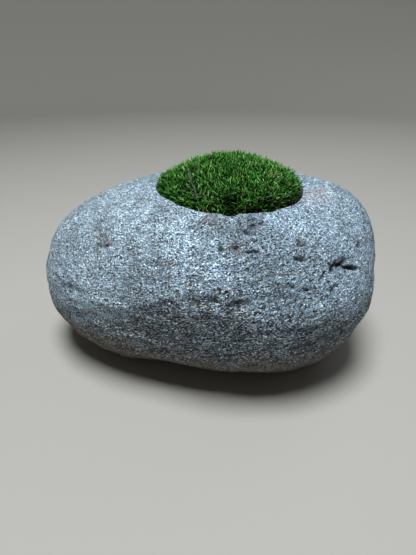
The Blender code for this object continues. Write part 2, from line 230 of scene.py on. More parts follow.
# Under a line round the stone its grains are coarser and split and painted darker, partly its own rougher
# face and partly painted shade: its azimuths and elevations from the right end round the back, the left and
# the front, and how ragged it is in degrees.
UNDERSIDE_SHADE_LINE = (
    (0, -2), (90, -6), (176, -6), (201, -7.5), (210, -5), (218, -1), (226, 4), (233, 10.5), (240, 14.5),
    (257, 17), (270, 15.5), (280, 13), (290, 10.5), (302, 8), (313, 5), (330, 3), (360, -2),
)
UNDERSIDE_SHADE_RAGGED = 5.5
UNDERSIDE_SHADE_EDGE = 3.0  # degrees over which it passes
UNDERSIDE_SPOTS_ABOVE = 0.30  # share of coarse grains just above the line
UNDERSIDE_SPOTS_REACH = 32  # degrees above it at which they end
MOSS_SPECK = (263.8, 37.8)  # azimuth and elevation of a speck of moss on the stone
COOLER_END = (-0.060, 0.050)  # places along the stone between which its grey turns cooler
FOOT_SHADE_HEIGHTS = (0.009, 0.044)  # heights between which the darker, browner foot fades out: painted shade, partly a damp stain

# The stone's mesh: a ball's meridians and rings, moved onto the hollow's floor, wall and rim, and outside.
MERIDIANS = 400
CLOSER_MERIDIANS = (285, 0.40)  # where they are closest, in degrees, and by how much
FLOOR_RINGS = 4
CORNER_RINGS = 4
WALL_RINGS = 10
RIM_RINGS = 4
OUTSIDE_RINGS = 206
UNDERSIDE_RINGS = 12
UNDERSIDE_START = -58  # elevation where the coarser rings of the underside begin

RIM_SEARCH = (25, 85)  # elevations between which the rim is looked for
RIM_HALVINGS = 14
RIM_WEAR = 0.00038
RIM_DROP = 0.9  # of the wall's top under the rim, as a share of the worn edge's width
RIM_CORNER = (0.25, 0.1)  # where that edge turns, out of the wall and under the rim, as such shares
RIM_CHIPS = {  # azimuth: half length along the rim, depth
    268: (0.0032, 0.0013),
    229: (0.0026, 0.0005),
    298: (0.0030, 0.0004),
    22: (0.0034, 0.0006),
    80: (0.0044, 0.0008),
    148: (0.0036, 0.0007),
}

# ----------------------------------------
# What is planted in the hollow.

SIDE_GAP = 0.0005
SOIL_GAP = 0.0003  # under it
SOIL_MERIDIANS = 180
SOIL_RINGS = 60  # over its top
SOIL_TOP = 0.084
SOIL_CROWN = 0.002
SOIL_CRUMB = {0.0050: 0.0008, 0.0022: 0.0006, 0.0011: 0.0003}  # length and height

MOSS_TOP = 0.1084
MOSS_EDGE = 0.0912
MOSS_LEAN = (-0.0004, 0.0016)
MOSS_FULLNESS = 1.95
MOSS_FULLER_RIGHT = 0.35
MOSS_ROLL_LENGTH = 0.013
MOSS_ROLL_HEIGHT = 0.0010
MOSS_STEEPEST = 2.2  # slope that the shoots still follow

SHOOTS = 1500
SHOOT_JITTER = 0.0006
SHOOT_CLEARANCE = 0.0010  # between the outermost and the hollow's wall
SHOOT_FACING = 0.8  # how much they follow the cushion's surface
SHOOT_RISING = 0.40  # how much they turn upwards
SHOOT_SPLAY = 0.26  # how much each goes its own way
SWAY = 0.7  # how much neighbours lean together
SWAY_LENGTH = 0.008
SHOOT_SINK = 0.0027  # of a shoot's top under the tips of its leaves
SHOOT_UNEVENNESS = 0.0006
RIM_SHOOTS = (0.80, 0.94)  # from the first to the second share of the reach, shoots count as beside the rim
LEFT_RISE = 0.0030  # how much higher the shoots beside the rim stand at the left and behind
RIGHT_RISE = 0.0040  # and at the right end
RIGHT_END = (-22, 26)  # azimuth of its middle and half width in degrees
LEAN_SINK = 0.0030  # how much deeper those that lean stand
RIGHT_SINK = 0.0021  # how much deeper they stand towards the right, where the cushion's edge is rounder
LEAVES = 19  # on a shoot
LEAF_STEP = 0.00034  # between leaves along the stem
LEAF_LENGTH = (0.0042, 0.0064)  # at the shoot's tip and at its foot
LEAF_WIDTH = (0.00044, 0.00084)
LEAF_SPREAD = (30, 86)  # degrees from the stem, at the shoot's tip and at its foot
SPREAD_JITTER = 11
LENGTH_JITTER = (0.72, 1.18)
LEAF_STATIONS = ((0.0, 0.55), (0.34, 1.0), (0.70, 0.74))  # place along the leaf, share of its width
LEAF_KEEL = 0.3  # depth of a leaf's keel, as a share of its width
LEAF_CURL = (-0.25, 0.6)  # mean and deviation, in radians
LEAF_TWIST = 0.6
LEAF_SWAY = 0.35
LEAF_SPLAY = 0.12  # how much each goes its own way
WALL_CLEARANCE = 0.0003  # between leaves and the hollow's wall
LEAN_OUT = 1.4  # how far leaves may reach out over the stone, as a share of their height over the rim
MOSS_TONE = 0.47  # its mean, then how much it varies from shoot to shoot and from leaf to leaf, and how much lighter higher clumps are and darker the hollows between them, as painted shade
SHOOT_TONE = 0.17
LEAF_TONE = 0.28
CLUMP_SHADE = 0.2
FRONT_HIGHLIGHT = 0.36  # how much lighter the leaves beside the front of the rim are: painted highlights
STEM_TONE = 0.3
STEM_HUE = 0.6
STRAWS = 0.004  # share of leaves that are dead
YELLOWED = 0.086  # share of those that are turning
TURNING_HUE = 0.24
STEM_RADIUS = 0.00022
TUFT_SIZE = 0.0065
TUFT_HEIGHT = 0.0011
# Azimuths at which the moss stands back from the rim: half width in degrees, share left, share of reach.
MOSS_GAPS = {
    269: (6, 0.00, 0.86),
    292: (8, 0.30, 0.91),
    238: (4, 0.50, 0.91),
}
GOLDEN_ANGLE = math.pi * (3 - math.sqrt(5))
MOSS_SEED = 11

TWIG_PLAN = ((-0.0205, -0.0104), (-0.0188, -0.0195), (-0.0160, -0.0304))  # tip, kink and foot
TWIG_RADIUS = 0.00036
TWIG_LIFT = 0.0006
TWIG_STATIONS = 46
TWIG_WAVE = 0.00025  # how far it wavers sideways
TWIG_BUDS = (0.22, 0.5, 0.81)  # places along it
TWIG_BUD_REACH = 0.018

# ----------------------------------------
# The camera: where it stands from the hollow's axis at the stone's waist, and its lens.

CAMERA_TARGET = (-0.0109, 0, -0.0031)
CAMERA_DISTANCE = 0.2405
CAMERA_PITCH = 30  # degrees below the horizon
FRAME_HEIGHT_PX = 555
FOCAL_LENGTH_PX = 416
SENSOR = 36  # mm along the frame's long side

UPRIGHT = np.array([0, 0, 1.0])


def unit(azimuth, elevation):
    a, e = math.radians(azimuth), math.radians(elevation)
    return np.array([math.cos(e) * math.cos(a), math.cos(e) * math.sin(a), math.sin(e)])


def directions_at(azimuths, elevations):
    """Unit vectors at these azimuths and elevations, in radians."""
    flat = np.cos(elevations)
    return np.stack([flat * np.cos(azimuths), flat * np.sin(azimuths), np.sin(elevations)], -1)


def smooth_noise(points, length, offset):
    """Noise of about -1 to 1 at each point, its features about length long. Each offset has its own."""
    shift = Vector((offset, 1.7 * offset, 2.3 * offset))
    return np.array([noise.noise(Vector(p) / length + shift) for p in points])


def layered_noise(points, layers, offset):
    """Noises of the layers' lengths and heights, one on the other."""
    return sum(height * smooth_noise(points, length, offset) for length, height in layers.items())


def noise_vectors(points, length, offsets):
    return np.stack([smooth_noise(points, length, offset) for offset in offsets], -1)


def rising(values):
    """0 well below 0, 1 well above it, with a smooth step between."""
    return 1 / (1 + np.exp(-np.clip(values, -30, 30)))


def degrees_of(directions):
    """Their azimuths, from 0 to 360, and elevations."""
    azimuths = np.degrees(np.arctan2(directions[:, 1], directions[:, 0])) % 360
    return azimuths, np.degrees(np.arcsin(np.clip(directions[:, 2], -1, 1)))


def form_radius(directions):
    """How far out the stone's plain form reaches, from its waist's centre."""
    x, y, z = directions.T
    along = np.abs(x / np.where(x > 0, ROCK_RIGHT, ROCK_LEFT))
    across = np.abs(y / np.where(y > 0, ROCK_BACK, ROCK_FRONT))
    up = np.abs(z / np.where(z > 0, ROCK_TOP, ROCK_BOTTOM))
    plan = (along**PLAN_SQUARENESS + across**PLAN_SQUARENESS) ** (1 / PLAN_SQUARENESS)
    radius = (plan**SIDE_SQUARENESS + up**SIDE_SQUARENESS) ** (-1 / SIDE_SQUARENESS)
    for azimuth, elevation, spread, height in SWELLS.values():
        angle = np.arccos(np.clip(directions @ unit(azimuth, elevation), -1, 1))
        radius = radius + height * np.exp(-((angle / math.radians(spread)) ** 2))
    return radius


def place_on_form(azimuth, elevation):
    """The direction, and the plain form's surface there."""
    outward = unit(azimuth, elevation)
    return outward, outward * form_radius(outward[None])[0]


def pit_relief(points, pits=PITS):
    """Oblong pits, lying at their tilts."""
    relief = np.zeros(len(points))
    for azimuth, elevation, tilt, half_length, half_width, depth in pits.values():
        outward, centre = place_on_form(azimuth, elevation)
        level = np.cross((0, 0, 1), outward)
        level /= np.linalg.norm(level)
        upward = np.cross(outward, level)
        t = math.radians(tilt)
        away = points - centre
        along = away @ (level * math.cos(t) + upward * math.sin(t)) / half_length
        across = away @ (upward * math.cos(t) - level * math.sin(t)) / half_width
        reach = (away @ outward) / (3 * half_length)
        relief -= depth * np.exp(-((along**2 + across**2 + reach**2) ** 1.5))
    return relief


def shelf_relief(directions):
    """The ledge on the left: the surface drops in under its lip, and comes out again below."""
    azimuth, elevation = degrees_of(directions)
    share = (azimuth - SHELF_START[0]) / (SHELF_END[0] - SHELF_START[0])
    below = SHELF_START[1] + share * (SHELF_END[1] - SHELF_START[1]) - elevation
    runs_out = np.exp(-np.clip(np.abs(share - 0.5) - 0.4, 0, None) ** 2 / 0.02)
    faded = np.exp(-np.clip(below, 0, None) / SHELF_FADE)
    return -SHELF_DEPTH * runs_out * rising(3 * below / SHELF_LIP) * faded


def brow_relief(directions):
    """The swell along the brow and the hollowed face under it."""
    azimuth, elevation = degrees_of(directions)
    above = elevation - np.interp(azimuth, *zip(*BROW))
    left, right, fade = BROW_ENDS
    beyond = np.maximum(np.maximum(left - azimuth, azimuth - right), 0)
    swell = BROW_HEIGHT * np.exp(-((above / BROW_SPREAD) ** 2))
    hollowed = UNDERCUT_DEPTH * (1 - np.exp(-((np.clip(-above, 0, None) / UNDERCUT_REACH) ** 1.5)))
    foot, foot_fade = UNDERCUT_FOOT
    hollowed *= rising((elevation - foot) * 2 / foot_fade)
    return (swell - hollowed) * np.exp(-((beyond / fade) ** 2))


def bedding_relief(points):
    """Broken ledges that run level round the stone: noise that is drawn out along the level."""
    flattened = points * (1, 1, LEDGE_LENGTH / LEDGE_PITCH)
    strength = np.clip(0.45 + smooth_noise(points, 0.035, 9.3), 0.1, 1)
    strength = strength * np.clip(1 - points[:, 2] / ROCK_TOP, 0.2, 1)
    return LEDGE_HEIGHT * strength * smooth_noise(flattened, LEDGE_LENGTH, 5.1)


def rock_points(directions):
    """The stone's surface in these directions, measured from its waist's centre."""
    points = directions * form_radius(directions)[:, None]
    relief = brow_relief(directions) + shelf_relief(directions)
    relief += bedding_relief(points) + pit_relief(points) + layered_noise(points, ROLL, 0.4)
    return points + directions * relief[:, None]


def waist_centre():
    """On the hollow's axis, which the soil's box gives, and as high as the worn base puts it."""
    low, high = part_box("soil")
    longitudes, latitudes = np.meshgrid(np.radians(range(0, 360, 2)), np.radians(range(-90, 91, 2)))
    points = rock_points(directions_at(longitudes, latitudes).reshape(-1, 3))
    return np.array([(low.x + high.x) / 2, (low.y + high.y) / 2, -points[:, 2].min() - BASE_WEAR])


CENTRE = waist_centre()


# ----------------------------------------
# Meshes.


def add_object(name, data):
    obj = bpy.data.objects.new(name, data)
    bpy.context.scene.collection.objects.link(obj)
    return obj


def set_attribute(mesh, name, values):
    attribute = mesh.attributes.new(name, "FLOAT", "POINT")
    attribute.data.foreach_set("value", np.asarray(values, np.float32))


def ball_on_rows(name, rows):
    """A ball whose rings are moved onto rows of points, one row a ring and one point a meridian.
    It returns the mesh, its points, and the ring that each is on."""
    rings, meridians = len(rows) - 1, rows.shape[1]
    bm = bmesh.new()
    bmesh.ops.create_uvsphere(bm, u_segments=meridians, v_segments=rings, radius=1)
    mesh = bpy.data.meshes.new(name)
    bm.to_mesh(mesh)
    bm.free()
    co = np.empty(len(mesh.vertices) * 3)
    mesh.vertices.foreach_get("co", co)
    co = co.reshape(-1, 3)
    ring = np.rint(np.arccos(np.clip(co[:, 2], -1, 1)) / math.pi * rings).astype(int)
    meridian = np.rint(np.arctan2(co[:, 1], co[:, 0]) / (2 * math.pi) * meridians).astype(int) % meridians
    points = rows[ring, meridian]
    mesh.vertices.foreach_set("co", points.ravel())
    mesh.shade_smooth()
    return mesh, points, ring


def rim_bevel(azimuths):
    """How wide the worn edge of the hollow's rim is."""
    places = HOLLOW_RADIUS * directions_at(azimuths, 0 * azimuths)
    bevel = RIM_WEAR * (1 + 0.7 * smooth_noise(places, 0.006, 3.7) + 0.5 * smooth_noise(places, 0.002, 1.3))
    for azimuth, (half_length, depth) in RIM_CHIPS.items():
        turn = (azimuths - math.radians(azimuth) + math.pi) % (2 * math.pi) - math.pi
        bevel += depth * np.exp(-((turn * HOLLOW_RADIUS / half_length) ** 4))
    return bevel


def elevation_at_reach(azimuths, reach):
    """The elevations at which the stone's surface stands this far out from the hollow's axis."""
    low, high = (np.full(len(azimuths), math.radians(end)) for end in RIM_SEARCH)
    for _ in range(RIM_HALVINGS):
        middle = (low + high) / 2
        points = rock_points(directions_at(azimuths, middle))
        outside = np.hypot(points[:, 0], points[:, 1]) > reach
        low, high = np.where(outside, middle, low), np.where(outside, high, middle)
    return (low + high) / 2


def meridian_azimuths():
    """Evenly numbered meridians, closer together at the stone's front."""
    even = 2 * math.pi * np.arange(MERIDIANS) / MERIDIANS
    closest, amount = math.radians(CLOSER_MERIDIANS[0]), CLOSER_MERIDIANS[1]
    return even - amount * np.sin(even - closest)


def rock_rows():
    """The stone's surface, ring by ring, from the middle of the hollow's floor over the rim to the base.
    It returns the rows and the number of those that are inside the hollow."""
    azimuths = meridian_azimuths()
    around = directions_at(azimuths, 0 * azimuths)
    floor = HOLLOW_FLOOR - CENTRE[2]

    def ring(radius, height):
        radii, heights = (np.broadcast_to(value, MERIDIANS)[:, None] for value in (radius, height))
        return around * radii + UPRIGHT * heights

    bevel = rim_bevel(azimuths)
    rim = elevation_at_reach(azimuths, HOLLOW_RADIUS + bevel)
    edge = rock_points(directions_at(azimuths, rim))
    wall_top = edge[:, 2] - RIM_DROP * bevel

    rows = [ring((HOLLOW_RADIUS - HOLLOW_CORNER) * i / FLOOR_RINGS, floor) for i in range(FLOOR_RINGS + 1)]
    for i in range(1, CORNER_RINGS + 1):
        turn = math.pi / 2 * i / CORNER_RINGS
        radius = HOLLOW_RADIUS - HOLLOW_CORNER * (1 - math.sin(turn))
        rows.append(ring(radius, floor + HOLLOW_CORNER * (1 - math.cos(turn))))
    foot = floor + HOLLOW_CORNER
    for i in range(1, WALL_RINGS + 1):
        rows.append(ring(HOLLOW_RADIUS, foot + (wall_top - foot) * (i / WALL_RINGS)))
    top_of_wall = rows[-1]
    corner = ring(HOLLOW_RADIUS + RIM_CORNER[0] * bevel, edge[:, 2] - RIM_CORNER[1] * bevel)
    for i in range(1, RIM_RINGS + 1):
        t = i / (RIM_RINGS + 1)
        rows.append((1 - t) ** 2 * top_of_wall + 2 * t * (1 - t) * corner + t**2 * edge)
    inside = len(rows)
    start = math.radians(UNDERSIDE_START)
    for i in range(OUTSIDE_RINGS):
        rows.append(rock_points(directions_at(azimuths, rim + (start - rim) * i / OUTSIDE_RINGS)))
    for i in range(UNDERSIDE_RINGS + 1):
        elevation = start + (-math.pi / 2 - start) * i / UNDERSIDE_RINGS
        rows.append(rock_points(directions_at(azimuths, elevation + 0 * azimuths)))
    return np.array(rows), inside


def blend(first, second, share):
    return first + (second - first) * share


def scatter(count, rng):
    """Directions spread at random over a ball."""
    height = rng.uniform(-1, 1, count)
    return directions_at(rng.uniform(0, 2 * math.pi, count), np.arcsin(height))


def pick_relief(points):
    """Small round pits, scattered in drifts."""
    tree = kdtree.KDTree(len(points))
    for index, point in enumerate(points):
        tree.insert(point, index)
    tree.balance()
    rng = np.random.default_rng(PICK_SEED)
    centres = scatter(PICKS, rng)
    centres = centres * form_radius(centres)[:, None]
    sizes = blend(*PICK_RADIUS, rng.uniform(0, 1, PICKS) ** PICK_SMALLNESS)
    drift = np.clip(0.7 + 1.2 * smooth_noise(centres, 0.022, 7.7), 0, 1)
    relief = np.zeros(len(points))
    for centre, size, strength in zip(centres, sizes, drift):
        for _, index, distance in tree.find_range(centre, 3 * size):
            relief[index] -= PICK_DEPTH * size * strength * math.exp(-((distance / size) ** 2))
    return relief


def flake_relief(points):
    """The rough, split look of the stone's bedding, strongest low down."""
    flattened = points * (1, 1, FLAKE_FLATNESS)
    flattened[:, 2] -= points[:, 0] * math.tan(math.radians(BED_DIP)) * FLAKE_FLATNESS
    low = np.clip(0.75 - 2.0 * points[:, 2] / ROCK_TOP, 0.25, 1.9)
    strength = low * np.clip(0.7 + 0.9 * smooth_noise(points, 0.024, 21.3), 0.15, 1.2)
    return strength * layered_noise(flattened, FLAKES, 1.9)


def stain_and_shade_values(points):
    """How much lighter, browner and pinker than the rest each point is."""
    values = np.zeros((3, len(points)))
    ragged = 1 + 0.45 * smooth_noise(points, 0.007, 30.1) + 0.3 * smooth_noise(points, 0.003, 33.3)
    for azimuth, elevation, radius, *amounts in STAINS_AND_SHADE.values():
        centre = place_on_form(azimuth, elevation)[1]
        away = np.linalg.norm(points - centre, axis=1) * ragged / radius
        share = np.exp(-(away**3))
        for value, amount in zip(values, amounts):
            value += amount * share
    return values


def under_shade_line(points, directions):
    """1 under the line below which the stone is painted darker as shade, less just above it and 0 well above
    it.
    """
    azimuth, elevation = degrees_of(directions)
    line = np.interp(azimuth, *zip(*UNDERSIDE_SHADE_LINE))
    line += UNDERSIDE_SHADE_RAGGED * (smooth_noise(points, 0.011, 40.2) + 0.6 * smooth_noise(points, 0.004, 43.9))
    worn = UNDERSIDE_SPOTS_ABOVE * np.clip(1 - (elevation - line) / UNDERSIDE_SPOTS_REACH, 0, 1)
    return np.clip(rising((line - elevation) / UNDERSIDE_SHADE_EDGE) + worn, 0, 1)


def make_rock():
    rows, inside = rock_rows()
    mesh, points, ring = ball_on_rows("stone", rows)
    outside = ring >= inside
    outward = points / np.linalg.norm(points, axis=1)[:, None]
    # The fine relief fades out towards the rim, so that its edge stays crisp.
    reach = np.hypot(points[:, 0], points[:, 1])
    near_rim = 1 - np.exp(-((np.clip(reach - HOLLOW_RADIUS, 0, None) / RIM_MARGIN) ** 2))
    fade = np.where(outside, np.where(points[:, 2] < 0, 1, near_rim), 0)
    ragged = points.copy()
    for length, size in PIT_RAGGED.items():
        ragged += size * noise_vectors(points, length, (51.3, 54.9, 57.2))
    ragged_pits, nicks, picks = pit_relief(ragged), pit_relief(ragged, NICKS), pick_relief(points)
    # The stone's rows hold the plain pits already.
    fine = picks + nicks + flake_relief(points) + ragged_pits - pit_relief(points)
    fine += layered_noise(points, FINE_ROLL, 2.9)
    low = np.clip(1 - 1.5 * points[:, 2] / ROCK_TOP, 0.6, 1.7)
    fine += GRAIN_HEIGHT * low * np.random.default_rng(GRAIN_SEED).uniform(-1, 1, len(points))
    pits = ragged_pits + nicks
    moved = points + outward * (fine * fade)[:, None] + CENTRE
    moved[:, 2] -= UNDERCUT * pits * fade
    moved[:, 2] = np.clip(moved[:, 2], 0, None)
    mesh.vertices.foreach_set("co", moved.ravel())
    # Painted shade: the pits and small pits are darkened by their depth.
    set_attribute(mesh, "pit_shade", np.clip(-(pits + 0.9 * picks) / PIT_SHADE_DEPTH, 0, 1) ** 1.3)
    # 1 under the line below which the stone is painted darker as shade.
    set_attribute(mesh, "under", under_shade_line(points, outward))
    for name, values in zip(("light", "brown", "pink"), stain_and_shade_values(points)):
        set_attribute(mesh, name, values)
    mesh.update()
    return add_object("stone", mesh)


def make_soil():
    """Crumbly growing medium that fills the foot of the hollow."""
    radius = HOLLOW_RADIUS - SIDE_GAP
    foot = HOLLOW_FLOOR + SOIL_GAP
    shares = np.linspace(0, 1, SOIL_RINGS)
    profile = [(radius * share, SOIL_TOP - SOIL_CROWN * share**2) for share in shares]
    side = np.linspace(SOIL_TOP - SOIL_CROWN, foot + HOLLOW_CORNER, 12)[1:]
    profile += [(radius, height) for height in side]
    for turn in np.linspace(0, math.pi / 2, 6)[1:]:
        inset = HOLLOW_CORNER * (1 - math.cos(turn))
        profile.append((radius - inset, foot + HOLLOW_CORNER * (1 - math.sin(turn))))
    profile.append((0, foot))
    azimuths = 2 * math.pi * np.arange(SOIL_MERIDIANS) / SOIL_MERIDIANS
    around = directions_at(azimuths, 0 * azimuths)
    rows = np.array([around * reach + UPRIGHT * height for reach, height in profile])
    mesh, points, _ = ball_on_rows("growing_medium", rows)
    reach = np.hypot(points[:, 0], points[:, 1])
    crumbs = layered_noise(points, SOIL_CRUMB, 6.1)
    top = points[:, 2] > SOIL_TOP - 1.2 * SOIL_CROWN
    points[:, 2] += np.where(top, crumbs - 0.0008, 0)
    inward = np.where(top, 0, np.clip(0.6 * crumbs - 0.0003, None, 0))
    points[:, :2] *= (1 + inward / np.maximum(reach, 0.001))[:, None]
    mesh.vertices.foreach_set("co", (points + (CENTRE[0], CENTRE[1], 0)).ravel())
    mesh.update()
    return add_object("growing_medium", mesh)


def moss_height(x, y):
    """Height of the moss's tips over points in plan, measured from the hollow's axis."""
    radius = HOLLOW_RADIUS - SIDE_GAP
    share = np.minimum(np.hypot(x, y) / radius, 1)
    edge = MOSS_EDGE + (MOSS_LEAN[0] * x + MOSS_LEAN[1] * y) / radius
    fullness = MOSS_FULLNESS + MOSS_FULLER_RIGHT * x / radius
    dome = (1 - share**fullness) ** (1 / fullness)
    places = np.stack([x, y, 0 * x + 0.02], -1)
    shift = Vector((2.6, 8.1, 0))
    roll = np.array([noise.noise(Vector(p) / MOSS_ROLL_LENGTH + shift) for p in places])
    return edge + (MOSS_TOP - edge) * dome + MOSS_ROLL_HEIGHT * roll * dome**0.5


def normalised(vectors):
    return vectors / np.linalg.norm(vectors, axis=-1, keepdims=True)


def moss_normals(x, y):
    step = 0.0012
    slope_x = (moss_height(x + step, y) - moss_height(x - step, y)) / (2 * step)
    slope_y = (moss_height(x, y + step) - moss_height(x, y - step)) / (2 * step)
    steepness = np.maximum(np.hypot(slope_x, slope_y) / MOSS_STEEPEST, 1)
    return normalised(np.stack([-slope_x / steepness, -slope_y / steepness, np.ones_like(x)], -1))


def shoot_places(rng):
    """The shoots' places in plan, spread evenly over the dome by the golden angle, with some jitter."""
    reach = HOLLOW_RADIUS - SIDE_GAP - SHOOT_CLEARANCE
    radii = np.linspace(0, reach, 400)
    quarters = (0, 1.6, 3.1, 4.7)
    heights = np.mean([moss_height(radii * math.cos(a), radii * math.sin(a)) for a in quarters], 0)
    slopes = np.gradient(heights, radii)
    area = np.cumsum(radii * np.sqrt(1 + np.minimum(slopes**2, 6)))
    shares = (np.arange(SHOOTS) + 0.5) / SHOOTS
    places = np.interp(shares, area / area[-1], radii)
    angles = GOLDEN_ANGLE * np.arange(SHOOTS)
    x = places * np.cos(angles) + rng.normal(0, SHOOT_JITTER, SHOOTS)
    y = places * np.sin(angles) + rng.normal(0, SHOOT_JITTER, SHOOTS)
    shrink = np.minimum(1, reach / np.hypot(x, y))
    x, y = x * shrink, y * shrink
    chance = rng.uniform(0, 1, SHOOTS)
    azimuth = np.degrees(np.arctan2(y, x))
    for middle, (half_width, left, begins) in MOSS_GAPS.items():
        turn = np.abs((azimuth - middle + 180) % 360 - 180)
        chance[(turn < half_width) & (np.hypot(x, y) > begins * reach) & (chance > left)] = 2
    return x[chance < 2], y[chance < 2]


def blades(base, forward, upper, length, width, curl, twist):
    """Tapering, curved, keeled leaves: ten points and sixteen triangles each.
    forward and upper are unit vectors at each leaf's foot; it curls towards its upper face."""
    side = np.cross(forward, upper)
    curl = np.where(np.abs(curl) < 0.05, 0.05, curl)
    rows = []
    for along, share in (*LEAF_STATIONS, (1.0, 0.0)):
        bend = curl * along
        ahead, rise = np.sin(bend) / curl, (1 - np.cos(bend)) / curl
        middle = base + forward * (length * ahead)[:, None] + upper * (length * rise)[:, None]
        if share == 0:
            rows.append(middle)
            continue
        face = upper * np.cos(bend)[:, None] - forward * np.sin(bend)[:, None]
        turn = twist * along
        across = side * np.cos(turn)[:, None] + face * np.sin(turn)[:, None]
        under = face * np.cos(turn)[:, None] - side * np.sin(turn)[:, None]
        half = (width * share / 2)[:, None]
        rows += [middle - across * half, middle + across * half, middle - under * half * 2 * LEAF_KEEL]
    faces = [(0, 2, 1)]
    for ring in (0, 3):
        for one, other in ((0, 1), (1, 2), (2, 0)):
            faces.append((ring + one, ring + other, ring + 3 + other))
            faces.append((ring + one, ring + 3 + other, ring + 3 + one))
    faces += [(6, 7, 9), (7, 8, 9), (8, 6, 9)]
    return np.stack(rows, 1), np.array(faces)


def make_moss_shoots():
    """The leaves, then the stems: points of each, triangles of one, tone, along, depth and hue."""
    rng = np.random.default_rng(MOSS_SEED)
    x, y = shoot_places(rng)
    shoots = len(x)
    normals = moss_normals(x, y)
    tips = np.stack([x, y, moss_height(x, y)], -1)
    clumps = smooth_noise(np.stack([x, y, 0 * x], -1), TUFT_SIZE, 4.4)
    begins, ends = RIM_SHOOTS
    edge = np.clip((np.hypot(x, y) / HOLLOW_RADIUS - begins) / (ends - begins), 0, 1)
    behind = np.clip(1.1 + 1.6 * y / HOLLOW_RADIUS, 0, 1)
    at_left = np.clip(0.6 - 2 * x / HOLLOW_RADIUS, 0, 1)
    sway = noise_vectors(tips, SWAY_LENGTH, (12.1, 15.7, 17.9)) * (1, 1, 0.3)
    axes = SHOOT_FACING * normals + SHOOT_RISING * UPRIGHT + SWAY * sway
    axes = normalised(axes + rng.normal(0, SHOOT_SPLAY, (shoots, 3)))
    sink = SHOOT_SINK - TUFT_HEIGHT * clumps * (1 - edge) + rng.exponential(SHOOT_UNEVENNESS, shoots)
    right_end = np.exp(-(((np.degrees(np.arctan2(y, x)) - RIGHT_END[0]) / RIGHT_END[1]) ** 2))
    sink -= edge * (LEFT_RISE * behind * at_left + RIGHT_RISE * right_end)
    sink += LEAN_SINK * (1 - axes[:, 2])
    sink += RIGHT_SINK * np.clip(x / HOLLOW_RADIUS, 0, 1) ** 2
    stem_tops = tips - axes * sink[:, None]

    shoot = np.repeat(np.arange(shoots), LEAVES)
    rank = np.tile(np.arange(LEAVES), shoots)
    count = len(shoot)
    depth = rank / (LEAVES - 1)
    axis = axes[shoot]
    base = stem_tops[shoot] - axis * (rank * LEAF_STEP * rng.uniform(0.8, 1.2, count))[:, None]
    helper = normalised(np.cross(axes, rng.normal(0, 1, (shoots, 3))))[shoot]
    other = np.cross(axis, helper)
    turn = rank * GOLDEN_ANGLE + rng.normal(0, 0.3, count)
    outward = helper * np.cos(turn)[:, None] + other * np.sin(turn)[:, None]
    spread = np.radians(blend(*LEAF_SPREAD, depth**0.7) + rng.normal(0, SPREAD_JITTER, count))
    forward = axis * np.cos(spread)[:, None] + outward * np.sin(spread)[:, None]
    forward = normalised(forward + LEAF_SWAY * sway[shoot] + rng.normal(0, LEAF_SPLAY, (count, 3)))
    upper = axis - forward * np.sum(axis * forward, -1)[:, None]
    upper = normalised(upper + rng.normal(0, 0.1, (count, 3)))
    upper = normalised(upper - forward * np.sum(upper * forward, -1)[:, None])
    length = blend(*LEAF_LENGTH, np.clip(depth * 2, 0, 1)) * rng.uniform(*LENGTH_JITTER, count)
    width = rng.uniform(*LEAF_WIDTH, count)
    curl = rng.normal(*LEAF_CURL, count)
    twist = rng.normal(0, LEAF_TWIST, count)
    leaves, faces = blades(base, forward, upper, length, width, curl, twist)
    tone = MOSS_TONE + rng.normal(0, SHOOT_TONE, shoots)[shoot] + rng.normal(0, LEAF_TONE, count)
    # Painted shade: higher tufts are lighter and the hollows between them darker.
    tone += CLUMP_SHADE * clumps[shoot]
    # Painted highlights: the leaves beside the front of the rim are lighter.
    tone += np.clip(FRONT_HIGHLIGHT * (-0.5 - y[shoot] / HOLLOW_RADIUS), 0, None)
    chance = rng.uniform(0, 1, count)
    hue = np.where(chance < STRAWS, 1.0, np.where(chance < STRAWS + YELLOWED, TURNING_HUE, 0.0))
    along = np.array([place for place, _ in LEAF_STATIONS for _ in range(3)] + [1.0])

    feet = stem_tops.copy()
    feet[:, :2] *= 0.96
    feet[:, 2] = SOIL_TOP - 0.002
    ring = []
    for middle in (feet, stem_tops):
        for turn in (0, 2 * math.pi / 3, 4 * math.pi / 3):
            ring.append(middle + STEM_RADIUS * np.array([math.cos(turn), math.sin(turn), 0]))
    stem_faces = [(0, 2, 1), (3, 4, 5)]
    for one, next_one in ((0, 1), (1, 2), (2, 0)):
        stem_faces += [(one, next_one, next_one + 3), (one, next_one + 3, one + 3)]
    ones = np.ones(shoots)
    return [
        (leaves, faces, tone, along, depth, hue),
        (np.stack(ring, 1), np.array(stem_faces), STEM_TONE * ones, np.zeros(6), ones, STEM_HUE * ones),
    ]


def rim_heights():
    """A function that gives the rim's height at each point's azimuth, over the surface under the stone."""
    azimuths = 2 * math.pi * np.arange(361) / 360
    elevations = elevation_at_reach(azimuths, np.full(361, HOLLOW_RADIUS))
    heights = rock_points(directions_at(azimuths, elevations))[:, 2] + CENTRE[2]

    def height_at(points):
        turn = np.arctan2(points[..., 1], points[..., 0]) % (2 * math.pi)
        return np.interp(turn, azimuths, heights)

    return height_at


def keep_inside(points, rim_height):
    """Leaves below the rim stay clear of the hollow's wall, and above it they may lean over the stone."""
    reach = np.hypot(points[..., 0], points[..., 1])
    above = np.clip(points[..., 2] - rim_height(points) - WALL_CLEARANCE, 0, None)
    limit = HOLLOW_RADIUS - WALL_CLEARANCE + above * LEAN_OUT
    points[..., :2] *= np.minimum(1, limit / np.maximum(reach, 1e-6))[..., None]
    return points


